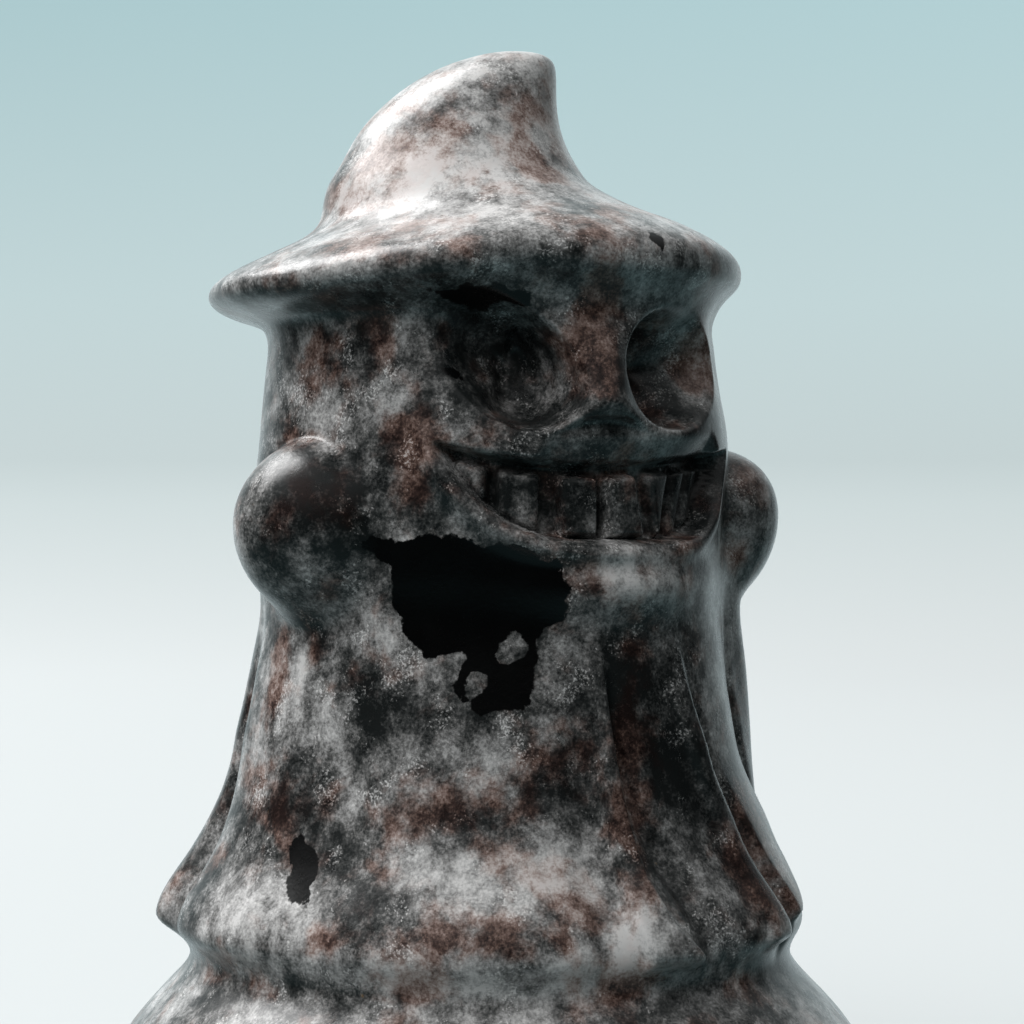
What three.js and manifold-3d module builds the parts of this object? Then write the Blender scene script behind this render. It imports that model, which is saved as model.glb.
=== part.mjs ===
// A palm-sized figurine carved from one piece of speckled stone and polished: a skull face with deep
// round sockets and a wide row of teeth, under a brimmed hat with a bent, blunt tip. A round lobe
// stands out on each side of the head, and the folded robe flares down to a low round base.
// Millimetres, +Z up, face toward -Y, origin at the middle of the flat underside.

import * as THREE from 'three';
import { mergeVertices } from 'three/addons/utils/BufferGeometryUtils.js';
import Module from 'manifold-3d';

const wasm = await Module();
wasm.setup();

// Driving dimensions: heights are above the underside, angles in degrees from the face, plus toward +X
const totalHeight = 67.3;
const base = { footRadius: 22.9, radius: 24.3, bellyHeight: 4.2, shoulderRadius: 21.6, shoulderHeight: 9.2 };
const groove = { radius: 17.9, height: 13.5, lip: 0.9 };
const robe = { hemRadius: 18.7, hemHeight: 16.0, kneeRadius: 15.7, kneeHeight: 22.0, waistRadius: 13.8, waistHeight: 32.5 };
const head = { chinRadius: 13.8, chinHeight: 36.5, cheekRadius: 14.1, cheekHeight: 42.0, browRadius: 13.4, browHeight: 50.2 };
const brim = { radius: 15.8, rimHeight: 53.0, rimThickness: 2.3, shift: -0.8, rise: 0.035, wave: 0.22 };
const crown = { foldRadius: 10.7, foldHeight: 56.5, neckRadius: 7.3, neckHeight: 59.6, midRadius: 6.2, midHeight: 62.0 };
const hatLean = { angle: 59, back: 1.9, tip: 3.8, start: 57.0, bend: 61.0 };
const nose = { angle: -3, rise: 1.5, halfWidth: 7, top: 51.0, tip: 44.7 };
const chin = { rise: 0.6, angle: 6, halfAngle: 22, height: 36.0, halfHeight: 2.2 };
const drape = { edge: 104, halfEdge: 7, rise: 1.3, hemHeight: 16.8, topHeight: 35 };
const strand = { angle: 69, halfAngle: 9, rise: 1.3, topHeight: 38, fadeHeight: 31, footHeight: 20 };
const ripple = { rise: 0.45, count: 9 };
const grin = { halfAngle: 45, floor: 38.15, corner: 43.7, top: 42.5, depth: 1.7, toothDepth: 0.75, gum: 0.75 };
const lip = { radius: 0.75, drop: 0.55 };
const philtrum = { halfWidth: 6.6, halfHeight: 2.2, depth: 1.0, reach: 1.0 };

// Folds of the robe by their angle at the waist: ridges rise, grooves sink
const folds = [
  { angle: -4, halfWidth: 4, rise: 0.9 },
  { angle: -11, halfWidth: 4, rise: -0.45 },
  { angle: 5, halfWidth: 4, rise: -0.9 },
  { angle: 12, halfWidth: 4.5, rise: 0.55 },
  { angle: 20, halfWidth: 4.5, rise: -1.0 },
  { angle: 30, halfWidth: 6, rise: 0.8 },
  { angle: 43, halfWidth: 6, rise: -0.8 },
  { angle: 55, halfWidth: 7, rise: 0.5 },
  { angle: 74, halfWidth: 8, rise: -0.7 },
  { angle: -68, halfWidth: 8, rise: -0.5 },
  { angle: -81, halfWidth: 7, rise: 0.6 },
  { angle: -100, halfWidth: 7, rise: -0.6 },
];

// On the +X side the folds swing outward as they run down to the hem
const sweep = { angle: 12, from: -12, full: 22, fading: 60, end: 105 };

// The ball on each side of the head
const lobes = [
  { angle: -80, reach: 12.5, height: 38.9, radius: 5.1 },
  { angle: 77, reach: 13.2, height: 39.6, radius: 5.1 },
];

// The eye sockets: deep round hollows whose outer edges ease into the cheeks
const sockets = [-1, 1].map((side) => (
  { angle: nose.angle + 24.5 * side, reach: 12.9, height: 47.4, wide: 4.0, tall: 3.5, deep: 3.9, tilt: 14 * side }
));
const cheekHollow = { angle: 41, halfAngle: 10, height: 47.0, halfHeight: 3.2, depth: 0.8 };

// Gaps between the teeth: the wider ones were cut deeper and lean a little
const toothGaps = [
  { angle: -38, width: 0.5, lean: 16 },
  { angle: -29.5, width: 0.5, lean: 4 },
  { angle: -16.5, width: 1.0, lean: 2 },
  { angle: 0, width: 0.4, lean: 0 },
  { angle: 14, width: 1.0, lean: -12 },
  { angle: 26, width: 0.6, lean: -6 },
  { angle: 36, width: 0.5, lean: -14 },
];

const segments = 66;
const frontCrowding = 0.42;

const radians = THREE.MathUtils.degToRad;
const smooth = THREE.MathUtils.smoothstep;

function bump(distance, halfWidth) {
  return Math.exp(-((distance / halfWidth) ** 2));
}

function spline(points, rows) {
  const curve = new THREE.SplineCurve(points.map(([radius, height]) => new THREE.Vector2(radius, height)));
  return curve.getSpacedPoints(rows);
}

// The turned outline, from the middle of the underside up to the tip of the hat
function turnedOutline() {
  const stretches = [
    [new THREE.Vector2(0, 0), new THREE.Vector2(base.footRadius * 0.5, 0)],
    spline([
      [base.footRadius, 0],
      [base.radius - 0.25, 1.4],
      [base.radius, base.bellyHeight],
      [base.shoulderRadius, base.shoulderHeight],
      [groove.radius + 0.7, groove.height - groove.lip],
      [groove.radius, groove.height],
    ], 7),
    spline([
      [groove.radius + 0.1, groove.height + 0.5],
      [robe.hemRadius - 0.3, robe.hemHeight - 0.8],
      [robe.hemRadius, robe.hemHeight],
    ], 3),
    spline([
      [robe.hemRadius - 0.15, robe.hemHeight + 0.8],
      [robe.kneeRadius, robe.kneeHeight],
      [robe.waistRadius, robe.waistHeight],
      [head.chinRadius, head.chinHeight],
      [head.cheekRadius, head.cheekHeight],
      [head.browRadius, head.browHeight],
    ], 20),
    spline([
      [head.browRadius + 0.5, head.browHeight + 0.8],
      [brim.radius - 0.5, brim.rimHeight - brim.rimThickness * 0.35],
      [brim.radius, brim.rimHeight],
      [brim.radius - 0.8, brim.rimHeight + brim.rimThickness * 0.5],
      [crown.foldRadius, crown.foldHeight],
    ], 7),
    spline([
      [crown.neckRadius + 2.2, crown.foldHeight + 1.1],
      [crown.neckRadius, crown.neckHeight],
      [crown.midRadius, crown.midHeight],
      [4.7, totalHeight - 2.6],
      [3.0, totalHeight - 0.8],
      [1.5, totalHeight - 0.15],
      [0, totalHeight],
    ], 9),
  ];
  return stretches.flat();
}

// How far the robe's surface stands out or in, growing from the waist to the hem
function robeRelief(angle, height) {
  const down = 1 - smooth(height, robe.hemHeight, robe.waistHeight + 3);
  const above = smooth(height, groove.height, robe.hemHeight);
  let rise = 0;
  for (const fold of folds) rise += fold.rise * bump(angle - fold.angle, fold.halfWidth);
  const behind = smooth(Math.abs(angle), drape.edge - drape.halfEdge, drape.edge + drape.halfEdge);
  const flare = 0.35 + 0.65 * (1 - smooth(height, drape.hemHeight, robe.kneeHeight + 4));
  const belowNeck = 1 - smooth(height, drape.topHeight - 3, drape.topHeight + 1);
  rise += behind * belowNeck * (drape.rise * flare + ripple.rise * down * Math.cos(radians(angle) * ripple.count));
  const strandFade = smooth(height, strand.footHeight, strand.fadeHeight);
  const strandTop = 1 - smooth(height, strand.topHeight - 2, strand.topHeight);
  const besideLobe = strand.rise * bump(angle - strand.angle, strand.halfAngle) * strandFade * strandTop;
  return rise * above * Math.min(1, down * 2.2) + besideLobe;
}

// The nose ridge, growing down to its tip, and the rise of the chin
function faceRelief(angle, height) {
  const down = THREE.MathUtils.clamp((nose.top - height) / (nose.top - nose.tip), 0, 1);
  const cutOff = smooth(height, nose.tip - 1.2, nose.tip);
  const bridge = nose.rise * down * cutOff * bump(angle - nose.angle, nose.halfWidth);
  const jut = chin.rise * bump(angle - chin.angle, chin.halfAngle) * bump(height - chin.height, chin.halfHeight);
  const beside = bump(Math.abs(angle - nose.angle) - cheekHollow.angle, cheekHollow.halfAngle);
  const hollow = cheekHollow.depth * beside * bump(height - cheekHollow.height, cheekHollow.halfHeight);
  return bridge + jut - hollow;
}

// How far a fold has swung sideways at a height, in degrees
function foldSweep(angle, height) {
  const side = smooth(angle, sweep.from, sweep.full) * (1 - smooth(angle, sweep.fading, sweep.end));
  return sweep.angle * side * (1 - smooth(height, robe.hemHeight, robe.waistHeight));
}

// The hat leans one way at its foot and its tip bends back the other way
function hatShift(height) {
  const atRim = brim.shift * bump(height - brim.rimHeight, 2);
  const back = -hatLean.back * smooth(height, hatLean.start, crown.neckHeight);
  const bend = Math.max(0, (height - hatLean.bend) / (totalHeight - hatLean.bend));
  return atRim + back + hatLean.tip * bend ** 2.2;
}

// The turned blank with its relief: each point of the turning is moved to its place on the carving
function carvedBlank() {
  const geometry = new THREE.LatheGeometry(turnedOutline(), segments);
  geometry.rotateX(Math.PI / 2);
  const position = geometry.attributes.position;
  const lean = radians(hatLean.angle);
  for (let i = 0; i < position.count; i += 1) {
    const turned = Math.atan2(position.getX(i), -position.getY(i));
    const radius = Math.hypot(position.getX(i), position.getY(i));
    const height = position.getZ(i);
    const angle = THREE.MathUtils.radToDeg(turned - frontCrowding * Math.sin(turned));
    const around = radians(angle + foldSweep(angle, height));
    const reach = radius < 1 ? radius : radius + robeRelief(angle, height) + faceRelief(angle, height);
    const shift = hatShift(height);
    const x = reach * Math.sin(around) + shift * Math.sin(lean);
    const y = -reach * Math.cos(around) - shift * Math.cos(lean);
    const onBrim = smooth(height, head.browHeight, brim.rimHeight - 0.8) * (1 - smooth(height, 56, 60));
    const along = x * Math.sin(lean) - y * Math.cos(lean);
    const waving = brim.wave * Math.cos(around * 3 + 0.6) * (radius / brim.radius);
    position.setXYZ(i, x, y, height + onBrim * (along * brim.rise + waving));
  }
  return solidOf(geometry);
}

// A closed solid from a closed geometry, its shared points merged
function solidOf(geometry) {
  const bare = geometry.clone();
  bare.deleteAttribute('normal');
  bare.deleteAttribute('uv');
  const merged = mergeVertices(bare, 1e-4);
  const corners = [];
  for (let i = 0; i < merged.index.count; i += 3) {
    const triangle = [merged.index.getX(i), merged.index.getX(i + 1), merged.index.getX(i + 2)];
    if (new Set(triangle).size === 3) corners.push(...triangle);
  }
  return new wasm.Manifold(new wasm.Mesh({
    numProp: 3,
    vertProperties: merged.attributes.position.array,
    triVerts: Uint32Array.from(corners),
  }));
}

function atFaceAngle(geometry, angle, reach, height) {
  const around = radians(angle);
  geometry.rotateZ(around);
  geometry.translate(reach * Math.sin(around), -reach * Math.cos(around), height);
  return geometry;
}

function uprightCylinder(radius, height, middle) {
  const geometry = new THREE.CylinderGeometry(radius, radius, height, 60);
  geometry.rotateX(Math.PI / 2);
  geometry.translate(0, 0, middle);
  return solidOf(geometry);
}

// The lobe is a ball whose lower half is drawn down and in, like a drop
function lobeSolid(lobe) {
  const geometry = new THREE.SphereGeometry(lobe.radius, 18, 12);
  geometry.rotateX(Math.PI / 2);
  const position = geometry.attributes.position;
  for (let i = 0; i < position.count; i += 1) {
    const low = Math.max(0, -position.getZ(i) / lobe.radius);
    position.setZ(i, position.getZ(i) * (1 + 0.2 * low));
    position.setY(i, position.getY(i) + 1.6 * low * low);
  }
  return solidOf(atFaceAngle(geometry, lobe.angle, lobe.reach, lobe.height));
}

function socketSolid(socket) {
  const geometry = new THREE.SphereGeometry(1, 20, 14);
  geometry.rotateX(Math.PI / 2);
  geometry.scale(socket.wide, socket.deep, socket.tall);
  geometry.rotateY(radians(socket.tilt));
  return solidOf(atFaceAngle(geometry, socket.angle, socket.reach, socket.height));
}

function grinFloor(angle) {
  return grin.floor + (grin.corner - grin.floor) * Math.abs(angle / grin.halfAngle) ** 2.6;
}

function grinTop(angle) {
  return grin.top + (grin.corner - grin.top) * Math.abs(angle / grin.halfAngle) ** 2;
}

// The grin seen from the front, straight above and bowed below, cut into the head along Y
function grinSolid(inset, gum) {
  const steps = 22;
  const shape = new THREE.Shape();
  const reach = head.cheekRadius;
  for (let i = 0; i <= steps; i += 1) {
    const angle = (grin.halfAngle - inset) * (2 * i / steps - 1);
    const point = [reach * Math.sin(radians(angle)), grinFloor(angle) + inset * 0.02];
    if (i === 0) shape.moveTo(...point);
    else shape.lineTo(...point);
  }
  for (let i = steps - 1; i > 0; i -= 1) {
    const angle = (grin.halfAngle - inset) * (2 * i / steps - 1);
    shape.lineTo(reach * Math.sin(radians(angle)), Math.max(grinTop(angle) - gum, grinFloor(angle) + 0.1));
  }
  const geometry = new THREE.ExtrudeGeometry(shape, { depth: 22, bevelEnabled: false });
  geometry.rotateX(Math.PI / 2);
  return solidOf(geometry);
}

function toothRow() {
  let teeth = grinSolid(3, grin.gum).intersect(uprightCylinder(head.cheekRadius - grin.toothDepth, 16, grin.top));
  for (const gap of toothGaps) {
    const geometry = new THREE.BoxGeometry(gap.width, 3.2, 12);
    geometry.rotateY(radians(gap.lean));
    teeth = teeth.subtract(solidOf(atFaceAngle(geometry, gap.angle, head.cheekRadius, grin.top - 2)));
  }
  return teeth;
}

// The raised lower lip follows the floor of the grin and sinks into the cheek at both corners
function lipSolid() {
  const points = [];
  for (let i = 0; i <= 16; i += 1) {
    const share = i / 8 - 1;
    const angle = share * (grin.halfAngle - 1);
    const reach = head.cheekRadius - 0.1 - 0.9 * share ** 6;
    points.push(new THREE.Vector3(
      reach * Math.sin(radians(angle)),
      -reach * Math.cos(radians(angle)),
      grinFloor(angle) - lip.drop,
    ));
  }
  const section = new THREE.Shape().absarc(0, 0, lip.radius, 0, Math.PI * 2);
  return solidOf(new THREE.ExtrudeGeometry(section, {
    steps: 26,
    curveSegments: 5,
    bevelEnabled: false,
    extrudePath: new THREE.CatmullRomCurve3(points),
  }));
}

// The slanted hollow under the nose, whose lower half opens into the grin
function underNose() {
  const geometry = new THREE.SphereGeometry(1, 24, 12);
  geometry.rotateX(Math.PI / 2);
  geometry.scale(philtrum.halfWidth, philtrum.depth + philtrum.reach, philtrum.halfHeight);
  return solidOf(atFaceAngle(geometry, nose.angle, head.cheekRadius + philtrum.reach, grin.top + 0.1));
}

function stoneFigure() {
  let figure = carvedBlank();
  for (const lobe of lobes) figure = figure.add(lobeSolid(lobe));
  figure = figure.add(lipSolid());
  const behindTeeth = uprightCylinder(head.cheekRadius - grin.depth, 16, grin.top);
  figure = figure.subtract(grinSolid(0, 0).subtract(behindTeeth));
  figure = figure.subtract(underNose());
  figure = figure.add(toothRow());
  for (const socket of sockets) figure = figure.subtract(socketSolid(socket));
  return figure;
}

function geometryOf(solid) {
  const mesh = solid.getMesh();
  const geometry = new THREE.BufferGeometry();
  geometry.setAttribute('position', new THREE.BufferAttribute(mesh.vertProperties, 3));
  geometry.setIndex(new THREE.BufferAttribute(mesh.triVerts, 1));
  geometry.computeVertexNormals();
  return geometry;
}

const polishedStone = new THREE.MeshStandardMaterial({ color: 0x7d7674, roughness: 0.3, metalness: 0 });

const figurine = new THREE.Group();
const stone = new THREE.Mesh(geometryOf(stoneFigure()), polishedStone);
stone.name = 'stone_figure';
figurine.add(stone);

export default figurine;
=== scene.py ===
import math

import bpy
import numpy as np
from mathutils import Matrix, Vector, noise


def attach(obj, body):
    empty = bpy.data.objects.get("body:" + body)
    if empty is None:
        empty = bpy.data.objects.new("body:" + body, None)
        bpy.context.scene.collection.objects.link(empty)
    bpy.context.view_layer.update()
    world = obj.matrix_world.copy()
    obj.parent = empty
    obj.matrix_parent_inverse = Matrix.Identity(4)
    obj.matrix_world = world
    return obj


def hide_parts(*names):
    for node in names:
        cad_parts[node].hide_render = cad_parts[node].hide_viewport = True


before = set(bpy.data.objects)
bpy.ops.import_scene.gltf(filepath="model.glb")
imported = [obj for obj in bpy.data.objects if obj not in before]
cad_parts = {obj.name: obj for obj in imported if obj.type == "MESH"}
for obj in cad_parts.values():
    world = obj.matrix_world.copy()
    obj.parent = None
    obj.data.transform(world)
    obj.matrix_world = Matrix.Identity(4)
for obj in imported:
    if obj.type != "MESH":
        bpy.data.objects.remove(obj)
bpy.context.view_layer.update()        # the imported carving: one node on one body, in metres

mm = 0.001

# Shapes are worked out in millimetres. An angle is in degrees round the figure, 0 at the face, plus toward +X.


def ease(value, start, end):
    share = np.clip((value - start) / (end - start), 0, 1)
    return share * share * (3 - 2 * share)


def bump(distance, halfWidth):
    return np.exp(-(distance / halfWidth) ** 2)


def softMax(first, second, blend):
    share = np.clip(0.5 + 0.5 * (first - second) / blend, 0, 1)
    return second * (1 - share) + first * share + blend * share * (1 - share)


def softMin(first, second, blend):
    return -softMax(-first, -second, blend)


def atHeights(height, table, column):
    # a value that changes with height, from rows of (height, value, value ...) listed upward
    rows = sorted(table)
    return np.interp(height, [row[0] for row in rows], [row[column] for row in rows])


def smoothLine(points, steps):
    # a rounded line through the points, cut into equal steps
    points = np.array(points, float)
    ends = np.vstack([2 * points[0] - points[1], points, 2 * points[-1] - points[-2]])
    fine = []
    for before, start, end, after in zip(ends, ends[1:], ends[2:], ends[3:]):
        for t in np.linspace(0, 1, 20, endpoint=False):
            pull = (2 * before - 5 * start + 4 * end - after) * t + (3 * start - before - 3 * end + after) * t * t
            fine.append(0.5 * (2 * start + (end - before) * t + pull * t))
    fine = np.array(fine + [points[-1]])
    along = np.concatenate([[0], np.cumsum(np.linalg.norm(np.diff(fine, axis=0), axis=1))])
    where = np.linspace(0, along[-1], steps + 1)
    return np.column_stack([np.interp(where, along, fine[:, 0]), np.interp(where, along, fine[:, 1])])


# The blank, as turned: stretches of (radius, height) points, each pulled up in its own number of rings
blank = {
    "segments": 84,
    "levels": 2,
    "frontCrowding": 0.5,
    "stretches": [
        (3, [(20.5, 0), (22.6, 0), (23.5, 0.5), (24.0, 1.6)]),
        (6, [(24.0, 1.6), (24.25, 4.2), (21.5, 9.2), (18.85, 12.1), (17.9, 13.1)]),
        (4, [(17.9, 13.1), (17.75, 13.8), (18.0, 14.6), (18.5, 15.3), (18.7, 16.0)]),
        (13, [(18.7, 16.0), (18.5, 16.8), (15.7, 22.0), (13.8, 32.5), (13.8, 35.6)]),
        (25, [(13.8, 35.6), (13.9, 38.0), (14.1, 42.0), (13.7, 47.0), (13.4, 50.2), (13.7, 51.0)]),
        (10, [(13.7, 51.0), (14.5, 51.7), (15.65, 52.4), (16.15, 53.1), (15.5, 54.05), (13.6, 55.2), (11.2, 56.35)]),
        (10, [(11.2, 56.35), (10.0, 56.95), (9.1, 57.8), (7.35, 59.9), (6.35, 62.0), (4.8, 64.7), (3.0, 66.6), (1.2, 67.2)]),
    ],
}


def turnBlank(spec):
    line = [point for steps, points in spec["stretches"] for point in smoothLine(points, steps)[:-1]]
    line.append(np.array(spec["stretches"][-1][1][-1]))
    bpy.ops.object.select_all(action="DESELECT")
    bpy.ops.mesh.primitive_circle_add(vertices=spec["segments"], radius=line[0][0] * mm, location=(0, 0, 0))
    stone = bpy.context.object
    stone.name = "polished_carving"
    bpy.ops.object.mode_set(mode="EDIT")
    bpy.ops.mesh.select_all(action="SELECT")
    bpy.ops.mesh.edge_face_add()
    for (radius, height), (nextRadius, nextHeight) in zip(line, line[1:]):
        bpy.ops.mesh.extrude_region_move(TRANSFORM_OT_translate={"value": (0, 0, (nextHeight - height) * mm)})
        scale = nextRadius / radius
        bpy.ops.transform.resize(value=(scale, scale, 1), center_override=(0, 0, nextHeight * mm))
    bpy.ops.mesh.select_all(action="SELECT")
    bpy.ops.mesh.normals_make_consistent(inside=False)
    bpy.ops.object.mode_set(mode="OBJECT")
    smoother = stone.modifiers.new("roundStone", "SUBSURF")
    smoother.levels = smoother.render_levels = spec["levels"]
    bpy.ops.object.modifier_apply(modifier=smoother.name)
    return stone


def readPoints(piece):
    points = np.empty(len(piece.data.vertices) * 3)
    piece.data.vertices.foreach_get("co", points)
    return points.reshape(-1, 3) / mm


def writePoints(piece, points):
    piece.data.vertices.foreach_set("co", (points * mm).ravel())
    piece.data.update()


# Strips and creases of the robe, as (height, left angle, right angle): a strip stands out between its edges
robe = {
    "hemHeight": 16.0,
    "waistHeight": 34.0,
    "strips": [
        {"rise": 0.9, "soft": (0.7, 0.8), "foot": 15.0, "edges": [
            (34, -8, -5.2), (30, -8, -4.6), (27, -8.2, -4.4), (23.6, -7.8, -3), (20, -7.2, -1.2), (17.5, -6.4, 1.6), (15.6, -4.5, 7)]},
        {"rise": 0.65, "soft": (1.2, 0.7), "foot": 15.4, "edges": [
            (33, 12, 18.5), (29, 14.7, 20.8), (25.3, 18.4, 23.8), (22.6, 21.5, 27.7), (19.6, 24, 30.6), (16.7, 26, 33.2)]},
        {"rise": 0.7, "soft": (0.7, 5), "foot": 16.4, "edges": [
            (25, 25, 50), (23.4, 27.5, 54), (21.8, 31.3, 57), (19.4, 35, 57), (17.8, 36.5, 50), (16.5, 37.5, 44)]},
    ],
    "creases": [
        {"depth": 0.65, "path": [(31, -3.2, 1.3), (26.5, -2, 1.6), (23, 0.6, 2), (20.8, 3.4, 2.2), (18.4, 6.6, 2.4), (14.8, 12, 3)]},
        {"depth": 0.38, "path": [(22, 6.4, 0.8), (20, 8.2, 1), (18.3, 11, 1.2), (15.5, 15, 1.4)]},
        {"depth": 0.55, "path": [(30, 21.5, 1.4), (25.3, 25.4, 1.6), (22.6, 29.4, 1.7), (19.6, 32.6, 2), (16.4, 35.4, 2)]},
        {"depth": 0.6, "path": [(36, 54, 2), (33, 53, 2.2), (29.4, 50.5, 2.2), (26, 51.5, 2.4), (24, 54, 2.6), (19, 60, 3), (15.5, 64, 3)]},
        {"depth": 0.6, "path": [(35, 88, 4.5), (25, 90, 5), (15.5, 91, 6)]},
        {"depth": 0.38, "path": [(33, -62, 6), (25, -62, 7), (15.5, -62, 8)]},
        {"depth": 0.35, "path": [(33, -11.5, 2.4), (25, -11.5, 3), (15.5, -10.5, 4)]},
        {"depth": 0.6, "path": [(36, -107.5, 2.4), (28, -108, 2.6), (20, -108.5, 3), (15.5, -109, 3.4)]},
    ],
    "sidePanel": {"edge": -75, "soft": 1.8, "rise": 0.4, "end": -104, "endSoft": 1.4},
    "drape": {"edge": 110, "soft": 6, "rise": 1.15, "hemHeight": 16.8, "topHeight": 35},
    "strand": {"angle": 66, "halfAngle": 9.5, "rise": 1.6, "topHeight": 38.5, "fadeHeight": 32, "footHeight": 16.5},
    "ripples": [(118, 7, 0.3), (135, 9, 0.45), (158, 8, 0.35), (180, 9, 0.5), (-158, 8, 0.4), (-136, 8, 0.35), (-118, 6, 0.15)],
}


def carveRobe(angle, height):
    down = 1 - ease(height, robe["hemHeight"], robe["waistHeight"] + 2)
    above = ease(height, 13.9, robe["hemHeight"])
    strength = np.minimum(1, down * 2.2)
    rise = np.zeros_like(angle)
    for strip in robe["strips"]:
        left = atHeights(height, strip["edges"], 1)
        right = atHeights(height, strip["edges"], 2)
        softLeft, softRight = strip["soft"]
        topHeight = max(row[0] for row in strip["edges"])
        inside = ease(angle, left - softLeft, left + softLeft) * (1 - ease(angle, right - softRight, right + softRight))
        inside *= 1 - ease(height, topHeight - 4, topHeight + 1)
        rise += strip["rise"] * inside * ease(height, strip["foot"] - 0.5, strip["foot"] + 0.4)
    for crease in robe["creases"]:
        topHeight = max(row[0] for row in crease["path"])
        across = bump(angle - atHeights(height, crease["path"], 1), atHeights(height, crease["path"], 2))
        rise -= crease["depth"] * across * (1 - ease(height, topHeight - 4, topHeight + 1))
    panel = robe["sidePanel"]
    beyondEdge = 1 - ease(angle, panel["edge"] - panel["soft"], panel["edge"] + panel["soft"])
    beforeEnd = ease(angle, panel["end"] - panel["endSoft"], panel["end"] + panel["endSoft"])
    rise += panel["rise"] * beyondEdge * beforeEnd
    drape = robe["drape"]
    behind = ease(abs(angle), drape["edge"] - drape["soft"], drape["edge"] + drape["soft"])
    flare = 0.35 + 0.65 * (1 - ease(height, drape["hemHeight"], 26))
    rise += behind * drape["rise"] * flare * (1 - ease(height, drape["topHeight"] - 3, drape["topHeight"] + 1))
    for centre, halfWidth, ripple in robe["ripples"]:
        away = (angle - centre + 180) % 360 - 180
        rise += ripple * bump(away, halfWidth) * down
    strand = robe["strand"]
    fade = ease(height, strand["footHeight"], strand["fadeHeight"])
    fade *= 1 - ease(height, strand["topHeight"] - 2, strand["topHeight"])
    return rise * above * strength + strand["rise"] * bump(angle - strand["angle"], strand["halfAngle"]) * fade


lobes = [
    {"angle": -80, "reach": 12.5, "height": 38.9, "radius": 5.05, "squat": 0.0, "drop": 0.22, "blendTop": 0.5, "blendLow": 1.7},
    {"angle": 77, "reach": 13.4, "height": 39.7, "radius": 5.05, "squat": 0.2, "drop": 0.34, "blendTop": 0.5, "blendLow": 1.6},
]


def raiseLobes(angle, height, radius):
    for lobe in lobes:
        turn = np.radians((angle - lobe["angle"] + 180) % 360 - 180)
        level = height - lobe["height"]
        level = level / np.where(level < 0, 1 + lobe["drop"], 1 - lobe["squat"])
        reach = lobe["reach"] - 1.2 * np.clip(-level / lobe["radius"], 0, 1) ** 2
        inside = lobe["radius"] ** 2 - level ** 2 - (reach * np.sin(turn)) ** 2
        outer = reach * np.cos(turn) + np.sign(inside) * np.sqrt(abs(inside))
        outer = np.where(abs(turn) < 1.2, outer, 0)
        blend = lobe["blendTop"] + (lobe["blendLow"] - lobe["blendTop"]) * ease(-level, 0, 4.5)
        radius = softMax(outer, radius, blend)
    return radius


# The face: lengths along the skin are taken at the cheek's radius
face = {
    "reach": 13.9,
    "nose": {"angle": -5, "rise": 1.55, "left": 5.2, "right": 5.8, "flare": 3.4, "top": 51.8, "tip": 44.9, "arch": 0.6, "archAngle": 10,
             "soft": 0.3},
    # the sockets: inner and outer are the half widths toward the nose and toward the cheek, along the tilted long side
    "sockets": [
        {"side": -1, "angle": -27.3, "height": 47.65, "inner": 4.5, "outer": 5.3, "tall": 3.15, "depth": 4.3, "tilt": 36},
        {"side": 1, "angle": 18, "height": 47.6, "inner": 4.3, "outer": 5.6, "tall": 3.4, "depth": 3.7, "tilt": 12},
    ],
    "hollows": [(-44, 8, 0.35), (51, 10, 0.5)],
    "hollowHeight": 48.6, "hollowHalfHeight": 2.5,
    "facet": {"slope": 0.62, "reach": 13.15, "left": -24, "right": 40, "soft": 8},
    "chin": {"angle": 4, "halfAngle": 20, "height": 35.2, "halfHeight": 1.6, "rise": 1.0},
}
grin = {
    "middle": -2, "floor": 37.9, "corner": 43.45, "leftHalf": 43, "rightHalf": 49, "leftBow": 3.0, "rightBow": 5.2,
    "top": 42.2, "topRise": 1.2, "depth": 1.9, "wall": 0.2, "tooth": 0.75, "farTooth": 0.5, "gum": 0.62, "toothEdge": 0.28,
    "lip": {"rise": 0.62, "drop": 0.62, "halfWidth": 0.62},
    # gaps between the teeth: angle, width in mm, lean (sideways shift per mm of height)
    "gaps": [(-40.5, 0.5, -0.5), (-30.5, 0.5, -0.05), (-16.6, 1.05, -0.02), (-2.9, 0.36, 0.0), (10.6, 0.95, -0.25),
             (20.6, 0.55, 0.22), (28.8, 0.5, 0.3), (37, 0.5, 0.4)],
}


def grinFloor(angle):
    away = angle - grin["middle"]
    left = (abs(away) / grin["leftHalf"]) ** grin["leftBow"]
    right = (abs(away) / grin["rightHalf"]) ** grin["rightBow"]
    return grin["floor"] + (grin["corner"] - grin["floor"]) * np.where(away < 0, left, right)


def grinTop(angle):
    away = angle + 9
    return grin["top"] + grin["topRise"] * np.where(away < 0, (away / 37) ** 2, 0.7 * abs(away / 50) ** 1.5)


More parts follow.
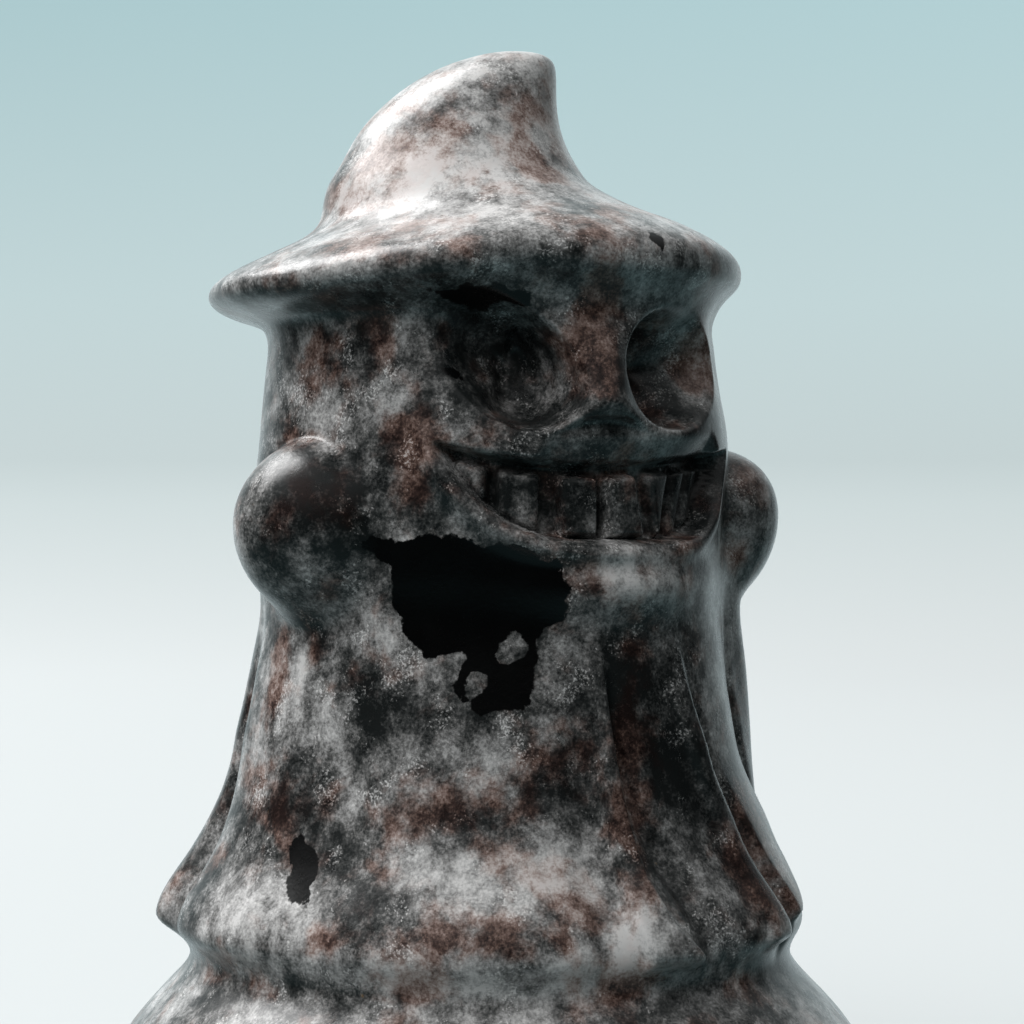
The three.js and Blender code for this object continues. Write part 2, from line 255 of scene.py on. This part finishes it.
def carveFace(angle, height, radius):
    perDegree = math.radians(face["reach"])
    nose = face["nose"]
    away = angle - nose["angle"]
    down = np.clip((nose["top"] - height) / (nose["top"] - nose["tip"]), 0, 1)
    flare = nose["flare"] * down ** 5
    across = np.where(away < 0, bump(away, nose["left"] + flare), bump(away, nose["right"] + 0.5 * flare))
    base = nose["tip"] - nose["arch"] * (away / nose["archAngle"]) ** 2
    radius = radius + nose["rise"] * down * across * ease(height, base - nose["soft"], base)
    for hollowAngle, halfAngle, depth in face["hollows"]:
        beside = bump(angle - hollowAngle, halfAngle) * bump(height - face["hollowHeight"], face["hollowHalfHeight"])
        radius = radius - depth * beside
    chin = face["chin"]
    radius = radius + chin["rise"] * bump(angle - chin["angle"], chin["halfAngle"]) * bump(height - chin["height"], chin["halfHeight"])
    # the slanted facet under the nose
    facet = face["facet"]
    slant = facet["reach"] + facet["slope"] * (height - grinTop(angle))
    aside = 1 - ease(angle, facet["left"] - facet["soft"], facet["left"] + facet["soft"])
    aside += ease(angle, facet["right"] - facet["soft"], facet["right"] + facet["soft"])
    slant = np.where(height > grin["floor"], slant, 99) + aside * 3
    radius = np.where(height > grinTop(angle) - 0.4, softMin(radius, slant, 0.22), radius)
    # the eye sockets, cut in steeply beside the nose and below, and easing out toward the cheek
    for socket in face["sockets"]:
        along = (angle - socket["angle"]) * perDegree * socket["side"]
        up = height - socket["height"]
        tilt = math.radians(socket["tilt"])
        outward = along * math.cos(tilt) + up * math.sin(tilt)
        outward = outward / np.where(outward < 0, socket["inner"], socket["outer"])
        upward = (up * math.cos(tilt) - along * math.sin(tilt)) / socket["tall"]
        far = np.hypot(outward, upward)
        crisp = ease(-(0.9 * along + 0.35 * up) / np.maximum(np.hypot(along, up), 0.01), -0.6, 0.4)
        bowl = np.clip(1 - far ** (1.7 + 2.2 * crisp), 0, 1) ** (1.25 - 0.52 * crisp)
        radius = radius - socket["depth"] * bowl
    return radius


def carveGrin(angle, height, radius):
    perDegree = math.radians(face["reach"])
    low, top = grinFloor(angle), grinTop(angle)
    slopeLow = np.gradient(grinFloor(np.linspace(-60, 60, 241)), 0.5 * perDegree)
    steep = np.interp(angle, np.linspace(-60, 60, 241), slopeLow)
    aboveLow = (height - low) / np.sqrt(1 + steep ** 2)
    belowTop = top - height
    lip = grin["lip"]
    ridge = lip["rise"] * bump(aboveLow + lip["drop"], lip["halfWidth"])
    ridge *= 1 - ease(abs(angle - grin["middle"]), 40, 50) - 0.55 * ease(angle, -8, 12) * (1 - ease(angle, 38, 48))
    radius = radius + ridge
    inside = np.minimum(aboveLow, belowTop)
    inside = np.where(abs(angle) < 55, inside, -9)
    recess = ease(inside, -grin["wall"] * 0.5, grin["wall"])
    floorReach = face["reach"] + 0.15 - grin["depth"]
    tooth = ease(belowTop - grin["gum"], 0, grin["toothEdge"]) * ease(aboveLow - 0.12, 0, grin["toothEdge"])
    for gapAngle, width, lean in grin["gaps"]:
        aside = abs((angle - gapAngle) * perDegree - lean * (height - 40.2)) - width / 2
        tooth *= ease(aside, 0, grin["toothEdge"])
    proud = grin["depth"] - grin["tooth"] - grin["farTooth"] * ease(angle, 8, 24)
    carved = floorReach + proud * tooth ** 0.8
    return radius * (1 - recess) + np.minimum(radius, carved) * recess


hat = {
    "leanAngle": 59, "back": 1.9, "tip": 3.8, "start": 56.0, "neck": 59.6, "bend": 61.0, "total": 67.3,
    "rim": 53.1, "rimShift": -0.85, "rise": 0.05, "wave": 0.12,
    "flat": {"angle": 14, "halfAngle": 34, "depth": 0.45},
    "dent": {"angle": -22, "halfAngle": 10, "depth": 0.35, "rise": 0.45},
}


def shapeHat(points, around):
    height = points[:, 2]
    lean = math.radians(hat["leanAngle"])
    flat = hat["flat"]
    nearRim = bump(height - hat["rim"], 1.3)
    dent = hat["dent"]
    dented = bump(np.degrees(around) - dent["angle"], dent["halfAngle"]) * bump(height - hat["rim"], 2)
    inward = flat["depth"] * nearRim * bump(np.degrees(around) - flat["angle"], flat["halfAngle"]) + dent["depth"] * dented
    points[:, 0] *= 1 - inward / 16
    points[:, 1] *= 1 - inward / 16
    bend = np.clip((height - hat["bend"]) / (hat["total"] - hat["bend"]), 0, None)
    shift = hat["rimShift"] * bump(height - hat["rim"], 2) - hat["back"] * ease(height, hat["start"], hat["neck"])
    shift += hat["tip"] * bend ** 2.2
    points[:, 0] += shift * math.sin(lean)
    points[:, 1] -= shift * math.cos(lean)
    onBrim = ease(height, 50.2, hat["rim"] - 0.8) * (1 - ease(height, 56, 60))
    along = points[:, 0] * math.sin(lean) - points[:, 1] * math.cos(lean)
    out = np.hypot(points[:, 0], points[:, 1]) / 15.8
    points[:, 2] += onBrim * (along * hat["rise"] + hat["wave"] * np.cos(around * 3 + 0.6) * out + dent["rise"] * dented)
    return points


# The blank was carved and polished by hand, so no surface is quite even
handWork = {"broad": (7.0, 0.11), "fine": (2.6, 0.035), "smoothing": 0.5, "passes": 2, "headShift": 0.25}


def unevenness(points):
    drift = np.zeros(len(points))
    for size, amount in (handWork["broad"], handWork["fine"]):
        drift += [amount * noise.noise(Vector(point) / size) for point in points]
    return drift * ease(points[:, 2], 0.4, 2.5)


def carveStone(stone):
    points = readPoints(stone)
    radius = np.hypot(points[:, 0], points[:, 1])
    height = points[:, 2]
    turned = np.arctan2(points[:, 0], -points[:, 1])
    around = turned - blank["frontCrowding"] * np.sin(turned)
    angle = np.degrees(around)
    onBody = height < 52
    carved = radius + carveRobe(angle, height)
    carved = raiseLobes(angle, height, carved)
    carved = carveFace(angle, height, carved)
    carved = carveGrin(angle, height, carved)
    radius = np.where(onBody & (radius > 19.5) & (height < 1), radius, np.where(onBody, carved, radius))
    points[:, 0] = radius * np.sin(around)
    points[:, 1] = -radius * np.cos(around)
    points = shapeHat(points, around)
    # the head sits a little to one side of the base
    aside = handWork["headShift"] * ease(height, 40, 44) * (1 - ease(height, 49, 52))
    points[:, 0] += aside * math.sin(math.radians(hat["leanAngle"]))
    points[:, 1] -= aside * math.cos(math.radians(hat["leanAngle"]))
    writePoints(stone, points)
    normals = np.empty(len(stone.data.vertices) * 3)
    stone.data.vertices.foreach_get("normal", normals)
    points += normals.reshape(-1, 3) * unevenness(points)[:, None]
    points[:, 2] = np.maximum(points[:, 2], 0)
    writePoints(stone, points)
    polish = stone.modifiers.new("polish", "SMOOTH")
    polish.factor = handWork["smoothing"]
    polish.iterations = handWork["passes"]
    bpy.ops.object.modifier_apply(modifier=polish.name)
    stone.data.polygons.foreach_set("use_smooth", [True] * len(stone.data.polygons))
    return stone


camera = {"azimuth": -31, "distance": 147, "height": 38, "aimRight": 1.32, "aimHeight": 39.68, "halfFrame": 30.72}


def placeCamera(spec):
    turn = math.radians(spec["azimuth"])
    back = Vector((math.sin(turn), -math.cos(turn), 0))
    right = Vector((math.cos(turn), math.sin(turn), 0))
    bpy.ops.object.camera_add()
    eye = bpy.context.object
    eye.name = "photo_camera"
    eye.location = (back * spec["distance"] + Vector((0, 0, spec["height"]))) * mm
    target = (right * spec["aimRight"] + Vector((0, 0, spec["aimHeight"]))) * mm
    eye.rotation_euler = (target - eye.location).to_track_quat("-Z", "Y").to_euler()
    eye.data.sensor_width = 36
    eye.data.lens = 18 * spec["distance"] / spec["halfFrame"]
    eye.data.clip_start = 0.01
    eye.data.clip_end = 20
    bpy.context.scene.camera = eye
    return back, right


# Minerals that show in the stone, with painted shade: the dark patches over the eye sockets and the mouth paint shade
# there on top of dark mineral. A patch is (angle, height, half width, half height, turn) in degrees and mm
mineralsAndShade = {
    "reach": 14.0,
    "black": {
        "outlines": [
            [(-60.5, 37.9), (-56, 38.2), (-44.6, 38.3), (-35.5, 38.0), (-24.3, 37.6), (-16, 36.9), (-12.6, 35.2), (-14.5, 33.7),
             (-18.5, 33.0), (-21.5, 30.2), (-23.5, 28.6), (-33, 28.6), (-40.2, 30.2), (-37, 31.6), (-44.6, 31.6), (-50.7, 32.6),
             (-53.4, 34.7), (-54.5, 36.6)],
        ],
        "patches": [(-69.6, 19.9, 0.75, 1.9, 22), (-34.5, 51.3, 1.9, 0.55, 0), (8, 54.6, 0.55, 0.5, 0), (-40, 47.2, 0.5, 0.22, -30),
                    (63, 26, 0.5, 1.3, -15), (128, 30, 2.6, 1.7, 20), (-150, 22, 1.8, 2.4, 0), (168, 45, 2.0, 1.2, 15),
                    (-128, 6, 2.2, 1.0, 0), (70, 9, 1.3, 1.8, 30)],
        "holes": [(-26.5, 32.0, 0.8, 0.6, 10), (-34.5, 29.8, 0.5, 0.9, -20)],
    },
    "pale": [(-34.7, 20.1, 2.2, 0.9, 10), (-20.1, 19.4, 2.2, 1.7, 0), (-31, 25.3, 0.9, 1.8, 0), (-49.7, 26.6, 0.8, 1.9, 15),
             (-72.9, 18.3, 2.0, 1.6, 20), (-54.9, 46.2, 1.9, 1.3, 20), (-52, 48.9, 1.3, 1.3, 0), (-74, 44.3, 1.3, 1.0, 0),
             (-51.8, 37.7, 0.5, 0.9, 0), (4.9, 35.4, 2.6, 0.8, -4), (-5.6, 36.0, 2.4, 0.5, 8), (-59.3, 59.1, 1.3, 1.5, 40),
             (-62, 33.1, 1.6, 0.6, 0), (-80, 30.5, 0.5, 1.1, 0), (-95, 27.5, 0.7, 2.4, 0), (-40, 15.2, 7, 0.7, 0),
             (-64, 24.6, 0.6, 2.2, 20), (-30, 6.5, 9, 2.4, 0), (20, 8.5, 7, 2.0, 0), (-3, 17.4, 1.3, 2.0, -30)],
    "rust": [(-51.6, 42.4, 1.3, 2.3, 12), (-45.8, 43.2, 0.8, 1.0, 0), (-32.7, 17.5, 1.9, 1.4, 0), (-58.5, 16.6, 1.4, 0.9, 0),
             (-46.1, 22.8, 2.0, 1.1, 15), (-87.7, 29.8, 0.8, 3.4, 0), (-5.3, 14.6, 2.0, 0.9, 0), (42.8, 47.4, 2.4, 2.2, 0),
             (-86.2, 59.4, 2.0, 1.6, 30), (-10.6, 60.8, 1.7, 2.2, 0), (-68.2, 54, 2.2, 0.7, 0), (-75, 47.6, 2.0, 2.3, 0),
             (-7, 48.5, 1.0, 2.4, 0), (20, 47.5, 0.7, 2.0, 0), (-1, 24, 1.0, 4.5, -6), (30, 20, 1.6, 4.0, -20), (44, 20, 3.2, 4.0, -20),
             (-66, 23, 0.6, 1.4, 0), (-78, 43.2, 1.4, 0.8, 0)],
    # the first four dark patches, over the two eye sockets and the mouth, are painted shade on top of dark mineral
    "darkAndShade": [(-28, 47.8, 4.2, 3.2, 0), (16, 48, 3.6, 3.0, 0), (26, 40.2, 4.6, 2.0, 0), (-24, 40.6, 5, 1.6, 0),
             (-28, 35.5, 5, 2, 0), (2, 29, 4.5, 3.4, 0), (14, 24, 2.4, 4, 0), (-14, 25, 2.2, 2.6, 0),
             (-64, 21.5, 1.5, 1.2, 0), (-70, 39.5, 3, 2.6, 0), (-36, 23.5, 2.4, 1.4, 0), (-58, 28.5, 1.8, 2.2, 0)],
}


def patchDepth(angle, height, patch):
    # how far inside the patch a point lies, in mm, under 0 outside
    patchAngle, patchHeight, halfWidth, halfHeight, turn = patch
    along = np.radians((angle - patchAngle + 180) % 360 - 180) * mineralsAndShade["reach"]
    up = height - patchHeight
    turn = math.radians(turn)
    across = (along * math.cos(turn) + up * math.sin(turn)) / halfWidth
    upward = (up * math.cos(turn) - along * math.sin(turn)) / halfHeight
    return (1 - np.hypot(across, upward)) * min(halfWidth, halfHeight)


def outlineDepth(angle, height, outline):
    perDegree = math.radians(mineralsAndShade["reach"])
    spot = np.column_stack([angle * perDegree, height])
    corners = np.array(outline) * (perDegree, 1)
    nearest = np.full(len(spot), 99.0)
    inside = np.zeros(len(spot), bool)
    for start, end in zip(corners, np.roll(corners, -1, axis=0)):
        side = end - start
        share = np.clip((spot - start) @ side / (side @ side), 0, 1)
        nearest = np.minimum(nearest, np.linalg.norm(spot - start - share[:, None] * side, axis=1))
        crosses = (start[1] > spot[:, 1]) != (end[1] > spot[:, 1])
        inside ^= crosses & (spot[:, 0] < start[0] + side[0] * (spot[:, 1] - start[1]) / (side[1] or 1))
    return np.where(inside, nearest, -nearest)


def placeMineralsAndShade(stone):
    points = readPoints(stone)
    angle = np.degrees(np.arctan2(points[:, 0], -points[:, 1]))
    height = points[:, 2]
    black = np.full(len(points), -6.0)
    for outline in mineralsAndShade["black"]["outlines"]:
        black = np.maximum(black, outlineDepth(angle, height, outline))
    for patch in mineralsAndShade["black"]["patches"]:
        black = np.maximum(black, patchDepth(angle, height, patch))
    for patch in mineralsAndShade["black"]["holes"]:
        black = np.minimum(black, -patchDepth(angle, height, patch))
    fields = {"blackDepth": black}
    # the dark field also carries the painted shade in the eye sockets and the mouth
    for kind in ("pale", "rust", "darkAndShade"):
        field = np.full(len(points), -3.0)
        for patch in mineralsAndShade[kind]:
            field = softMax(field, patchDepth(angle, height, patch), 0.6)
        fields[kind + "Depth"] = field
    for name, values in fields.items():
        layer = stone.data.attributes.new(name, "FLOAT", "POINT")
        layer.data.foreach_set("value", values.astype(np.float32))


def wire(tree, source, target):
    if isinstance(source, bpy.types.NodeSocket):
        tree.links.new(source, target)
    elif source is not None:
        target.default_value = source


def addNode(tree, kind, **settings):
    node = tree.nodes.new(kind)
    for name, value in settings.items():
        setattr(node, name, value)
    return node


def calc(tree, operation, *values):
    node = addNode(tree, "ShaderNodeMath", operation=operation)
    for value, socket in zip(values, node.inputs):
        wire(tree, value, socket)
    return node.outputs[0]


def blendColour(tree, factor, first, second, mode="MIX"):
    node = addNode(tree, "ShaderNodeMix", data_type="RGBA", blend_type=mode)
    for value, socket in zip((factor, first, second), (node.inputs[0], node.inputs[6], node.inputs[7])):
        wire(tree, value, socket)
    return node.outputs[2]


def stepMask(tree, value, low, high):
    node = addNode(tree, "ShaderNodeMapRange", interpolation_type="SMOOTHSTEP")
    for given, socket in zip((value, low, high), node.inputs):
        wire(tree, given, socket)
    return node.outputs[0]


def speckle(tree, vector, scale, detail, rough, twist=0.0):
    node = addNode(tree, "ShaderNodeTexNoise")
    wire(tree, vector, node.inputs["Vector"])
    for name, value in (("Scale", scale), ("Detail", detail), ("Roughness", rough), ("Distortion", twist)):
        wire(tree, value, node.inputs[name])
    return node.outputs["Fac"]


def newGroup(name, inputs, outputs):
    group = bpy.data.node_groups.new(name, "ShaderNodeTree")
    for label, kind, value in inputs:
        socket = group.interface.new_socket(name=label, in_out="INPUT", socket_type="NodeSocket" + kind)
        if value is not None:
            socket.default_value = value
    for label, kind in outputs:
        group.interface.new_socket(name=label, in_out="OUTPUT", socket_type="NodeSocket" + kind)
    return group, group.nodes.new("NodeGroupInput").outputs, group.nodes.new("NodeGroupOutput").inputs


def useGroup(tree, group, **values):
    node = addNode(tree, "ShaderNodeGroup", node_tree=group)
    for name, value in values.items():
        wire(tree, value, node.inputs[name])
    return node.outputs


def toneGroup():
    # how pale the stone is, 0 dark to 1 white: broad clouds, mottling and grain, pushed by Bias
    group, given, out = newGroup(
        "stone_tone",
        [("Vector", "Vector", None), ("Broad", "Float", 0.7), ("Mottle", "Float", 0.7), ("Grain", "Float", 0.4), ("Bias", "Float", 0.0)],
        [("Tone", "Float"), ("Grain", "Float")])
    tone = calc(group, "ADD", 0.5, given["Bias"])
    grains = []
    for name, scale, detail, rough in (("Broad", 0.23, 2.0, 0.5), ("Mottle", 0.95, 4.0, 0.62), ("Grain", 5.5, 3.0, 0.7)):
        part = calc(group, "SUBTRACT", speckle(group, given["Vector"], scale, detail, rough), 0.5)
        grains.append(part)
        tone = calc(group, "ADD", tone, calc(group, "MULTIPLY", part, given[name]))
    wire(group, tone, out["Tone"])
    wire(group, grains[-1], out["Grain"])
    return group


def cloudGroup():
    # a mineral that comes and goes in soft clouds, pulled toward the places where Bias is high
    group, given, out = newGroup(
        "mineral_cloud",
        [("Vector", "Vector", None), ("Scale", "Float", 0.3), ("Bias", "Float", 0.0), ("Low", "Float", 0.5), ("High", "Float", 0.7)],
        [("Mask", "Float")])
    cloud = speckle(group, given["Vector"], given["Scale"], 5.0, 0.58, 0.2)
    wire(group, stepMask(group, calc(group, "ADD", cloud, given["Bias"]), given["Low"], given["High"]), out["Mask"])
    return group


def raggedGroup():
    # a mineral with a hard broken edge, from how deep inside its patch a point lies
    group, given, out = newGroup(
        "ragged_patch",
        [("Vector", "Vector", None), ("Depth", "Float", 0.0), ("Bays", "Float", 1.6), ("Fray", "Float", 0.5), ("Soft", "Float", 0.1)],
        [("Mask", "Float")])
    bays = calc(group, "MULTIPLY", calc(group, "SUBTRACT", speckle(group, given["Vector"], 0.6, 1.0, 0.5), 0.5), given["Bays"])
    fray = calc(group, "MULTIPLY", calc(group, "SUBTRACT", speckle(group, given["Vector"], 2.8, 3.0, 0.6), 0.5), given["Fray"])
    depth = calc(group, "ADD", given["Depth"], calc(group, "ADD", bays, fray))
    wire(group, stepMask(group, depth, calc(group, "MULTIPLY", given["Soft"], -1), given["Soft"]), out["Mask"])
    return group


def glintGroup():
    # small bright flecks in clusters
    group, given, out = newGroup(
        "crystal_glint",
        [("Vector", "Vector", None), ("Scale", "Float", 5.0), ("Amount", "Float", 0.3), ("Cluster", "Float", 0.5)],
        [("Mask", "Float")])
    grain = speckle(group, given["Vector"], given["Scale"], 1.0, 0.6)
    cluster = stepMask(group, speckle(group, given["Vector"], given["Cluster"], 3.0, 0.6), 0.42, 0.68)
    limit = calc(group, "SUBTRACT", 0.82, calc(group, "MULTIPLY", given["Amount"], cluster))
    wire(group, stepMask(group, grain, limit, calc(group, "ADD", limit, 0.14)), out["Mask"])
    return group


# Colours by tone, dark to white, of the grey feldspar and of the brown and rosy parts
stoneLook = {
    "grey": [(0.30, (0.012, 0.014, 0.014)), (0.42, (0.055, 0.057, 0.056)), (0.50, (0.135, 0.134, 0.131)),
             (0.58, (0.25, 0.247, 0.243)), (0.68, (0.44, 0.435, 0.43)), (0.82, (0.72, 0.71, 0.70))],
    "brown": [(0.30, (0.016, 0.009, 0.008)), (0.42, (0.055, 0.032, 0.027)), (0.50, (0.135, 0.082, 0.066)),
              (0.60, (0.27, 0.19, 0.165)), (0.70, (0.46, 0.375, 0.345)), (0.84, (0.70, 0.64, 0.62))],
    "black": (0.0012, 0.0012, 0.0013, 1),
    "honey": (0.40, 0.22, 0.07, 1),
    "polish": 0.2, "wear": 0.16, "pitDepth": 0.00003,
}


def rampOf(tree, value, stops):
    ramp = addNode(tree, "ShaderNodeValToRGB")
    marks = ramp.color_ramp.elements
    for mark, (level, colour) in zip((marks[0], marks[1]), (stops[0], stops[-1])):
        mark.position, mark.color = level, (*colour, 1)
    for level, colour in stops[1:-1]:
        marks.new(level).color = (*colour, 1)
    wire(tree, value, ramp.inputs[0])
    return ramp.outputs[0]


def stoneMaterial(look):
    material = bpy.data.materials.new("polished_mottled_stone")
    material.use_nodes = True
    tree = material.node_tree
    shader = tree.nodes["Principled BSDF"]
    toning, clouds, ragged, glints = toneGroup(), cloudGroup(), raggedGroup(), glintGroup()

    def mapped(source, scale=(1, 1, 1), shift=(0, 0, 0)):
        node = addNode(tree, "ShaderNodeMapping")
        node.inputs["Scale"].default_value = scale
        node.inputs["Location"].default_value = shift
        wire(tree, source, node.inputs["Vector"])
        return node.outputs["Vector"]

    def pull(name, low, high, amount):
        depth = addNode(tree, "ShaderNodeAttribute", attribute_name=name + "Depth").outputs["Fac"]
        return calc(tree, "MULTIPLY", stepMask(tree, depth, low, high), amount)

    spot = mapped(addNode(tree, "ShaderNodeTexCoord").outputs["Object"], (1000, 1000, 1000))      # the place in mm
    tall = addNode(tree, "ShaderNodeSeparateXYZ")
    wire(tree, spot, tall.inputs[0])
    hatPart = stepMask(tree, tall.outputs["Z"], 52.0, 58.0)
    basePart = calc(tree, "SUBTRACT", 1.0, stepMask(tree, tall.outputs["Z"], 10.5, 14.0))
    # paler under the pale patches and darker under the dark ones, which also paint shade into the eye sockets and the
    # mouth
    bias = calc(tree, "SUBTRACT", pull("pale", -1.2, 0.9, 0.19), pull("darkAndShade", -1.6, 1.6, 0.16))
    bias = calc(tree, "ADD", bias, calc(tree, "MULTIPLY", hatPart, 0.17))
    bias = calc(tree, "ADD", bias, calc(tree, "MULTIPLY", basePart, 0.08))
    glint = useGroup(tree, glints, Vector=spot, Scale=7.0, Amount=0.32, Cluster=0.42)["Mask"]
    bias = calc(tree, "ADD", bias, calc(tree, "MULTIPLY", glint, 0.22))
    stoneTone = useGroup(tree, toning, Vector=spot, Broad=0.75, Mottle=0.75, Grain=0.55, Bias=bias)
    tone = stoneTone["Tone"]
    rustPull = calc(tree, "ADD", pull("rust", -1.2, 1.0, 0.18), calc(tree, "MULTIPLY", hatPart, 0.06))
    rust = useGroup(tree, clouds, Vector=mapped(spot, shift=(31, 12, 4)), Scale=0.3, Bias=rustPull, Low=0.5, High=0.68)["Mask"]
    colour = blendColour(tree, rust, rampOf(tree, tone, look["grey"]), rampOf(tree, tone, look["brown"]))
    honey = useGroup(tree, glints, Vector=mapped(spot, shift=(50, 19, 33)), Scale=1.1, Amount=0.06, Cluster=0.2)["Mask"]
    colour = blendColour(tree, honey, colour, look["honey"])
    blackDepth = addNode(tree, "ShaderNodeAttribute", attribute_name="blackDepth").outputs["Fac"]
    black = useGroup(tree, ragged, Vector=spot, Depth=blackDepth, Bays=1.7, Fray=0.55, Soft=0.06)["Mask"]
    colour = blendColour(tree, black, colour, look["black"])
    wire(tree, colour, shader.inputs["Base Color"])
    wear = speckle(tree, mapped(spot, shift=(8, 2, 17)), 0.7, 3.0, 0.6)
    wire(tree, calc(tree, "MULTIPLY_ADD", wear, look["wear"], look["polish"]), shader.inputs["Roughness"])
    pitted = addNode(tree, "ShaderNodeBump")
    pitted.inputs["Strength"].default_value = 0.5
    pitted.inputs["Distance"].default_value = look["pitDepth"]
    wire(tree, speckle(tree, spot, 3.0, 3.0, 0.7), pitted.inputs["Height"])
    wire(tree, pitted.outputs["Normal"], shader.inputs["Normal"])
    return material


stage = {
    "floor": 0.55, "bend": 0.45, "top": 1.3, "rings": 14,
    # height in metres, then the paper's colour and its glow there
    "span": 0.34,
    "paper": [(0.0, (0.62, 0.65, 0.655)), (0.2, (0.40, 0.42, 0.425)), (1.0, (0.30, 0.33, 0.335))],
    "glow": [(0.0, (0.0, 0.0, 0.0)), (0.15, (0.1, 0.15, 0.15)), (0.4, (0.15, 0.25, 0.26)), (1.0, (0.18, 0.35, 0.38))],
}


def buildStage(spec):
    bpy.ops.object.select_all(action="DESELECT")
    bpy.ops.mesh.primitive_circle_add(vertices=128, radius=0.2, location=(0, 0, 0))
    sweep = bpy.context.object
    sweep.name = "pale_sweep"
    bpy.ops.object.mode_set(mode="EDIT")
    bpy.ops.mesh.select_all(action="SELECT")
    bpy.ops.mesh.edge_face_add()
    radius, height = 0.2, 0.0
    outline = [(spec["floor"], 0.0)]
    for step in range(1, spec["rings"] + 1):
        turn = math.pi / 2 * step / spec["rings"]
        outline.append((spec["floor"] + spec["bend"] * math.sin(turn), spec["bend"] * (1 - math.cos(turn))))
    outline.append((spec["floor"] + spec["bend"], spec["top"]))
    for nextRadius, nextHeight in outline:
        bpy.ops.mesh.extrude_region_move(TRANSFORM_OT_translate={"value": (0, 0, nextHeight - height)})
        bpy.ops.transform.resize(value=(nextRadius / radius, nextRadius / radius, 1), center_override=(0, 0, nextHeight))
        radius, height = nextRadius, nextHeight
    bpy.ops.mesh.delete(type="ONLY_FACE")
    bpy.ops.mesh.select_all(action="SELECT")
    bpy.ops.mesh.normals_make_consistent(inside=True)
    bpy.ops.object.mode_set(mode="OBJECT")
    bpy.ops.object.shade_smooth()
    material = bpy.data.materials.new("pale_paper")
    material.use_nodes = True
    tree = material.node_tree
    shader = tree.nodes["Principled BSDF"]
    shader.inputs["Roughness"].default_value = 0.9
    shader.inputs["Specular IOR Level"].default_value = 0.0
    tall = addNode(tree, "ShaderNodeSeparateXYZ")
    wire(tree, addNode(tree, "ShaderNodeTexCoord").outputs["Object"], tall.inputs[0])
    level = calc(tree, "DIVIDE", tall.outputs["Z"], spec["span"])
    wire(tree, rampOf(tree, level, spec["paper"]), shader.inputs["Base Color"])
    wire(tree, rampOf(tree, level, spec["glow"]), shader.inputs["Emission Color"])
    shader.inputs["Emission Strength"].default_value = 1.0
    sweep.data.materials.append(material)
    sweep.visible_diffuse = sweep.visible_glossy = sweep.visible_shadow = False


studio = {
    "keyFrom": (-0.52, -0.32, 0.8),        # to the right, toward the camera and up, as seen in the photo
    "keyDistance": 2.2, "keySize": 1.4, "keyPower": 46,
    "fillFrom": (-0.45, 0.55, 0.7), "fillDistance": 1.6, "fillSize": 1.6, "fillPower": 19,
    "rear": (0.75, 0.88, 0.91, 1), "front": (0.008, 0.009, 0.009, 1), "below": (0.08, 0.14, 0.15, 1), "above": (0.3, 0.31, 0.31, 1),
    "strength": 1.0,
}


def softLight(spec, name, back, right):
    bpy.ops.object.light_add(type="AREA")
    lamp = bpy.context.object
    lamp.name = name + "_softbox"
    aside, toward, up = spec[name + "From"]
    source = (right * aside + back * toward + Vector((0, 0, up))).normalized()
    lamp.location = source * spec[name + "Distance"]
    lamp.rotation_euler = (-source).to_track_quat("-Z", "Y").to_euler()
    lamp.data.size = spec[name + "Size"]
    lamp.data.energy = spec[name + "Power"]
    return lamp


def lightStudio(spec, back, right):
    softLight(spec, "key", back, right)
    fill = softLight(spec, "fill", back, right)
    fill.visible_glossy = False          # the fill brightens the front without mirroring in the polish
    world = bpy.data.worlds.new("studio_air")
    bpy.context.scene.world = world
    world.use_nodes = True
    tree = world.node_tree
    direction = addNode(tree, "ShaderNodeTexCoord").outputs["Generated"]
    facing = addNode(tree, "ShaderNodeVectorMath", operation="DOT_PRODUCT")
    wire(tree, direction, facing.inputs[0])
    facing.inputs[1].default_value = back
    tall = addNode(tree, "ShaderNodeSeparateXYZ")
    wire(tree, direction, tall.inputs[0])
    dim = blendColour(tree, stepMask(tree, tall.outputs["Z"], 0.2, 0.85), spec["front"], spec["above"])
    dim = blendColour(tree, stepMask(tree, calc(tree, "MULTIPLY", tall.outputs["Z"], -1), 0.05, 0.5), dim, spec["below"])
    air = blendColour(tree, stepMask(tree, facing.outputs["Value"], -0.93, -0.5), spec["rear"], dim)
    background = tree.nodes["Background"]
    wire(tree, air, background.inputs["Color"])
    background.inputs["Strength"].default_value = spec["strength"]
    bpy.context.scene.view_settings.view_transform = "Standard"


back, right = placeCamera(camera)
print("camera placed")
stone = carveStone(turnBlank(blank))
placeMineralsAndShade(stone)
stone.data.materials.append(stoneMaterial(stoneLook))
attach(stone, "root")
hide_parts("stone_figure")
print("stone carved:", len(stone.data.polygons), "faces")
buildStage(stage)
lightStudio(studio, back, right)
print("stage and light ready")
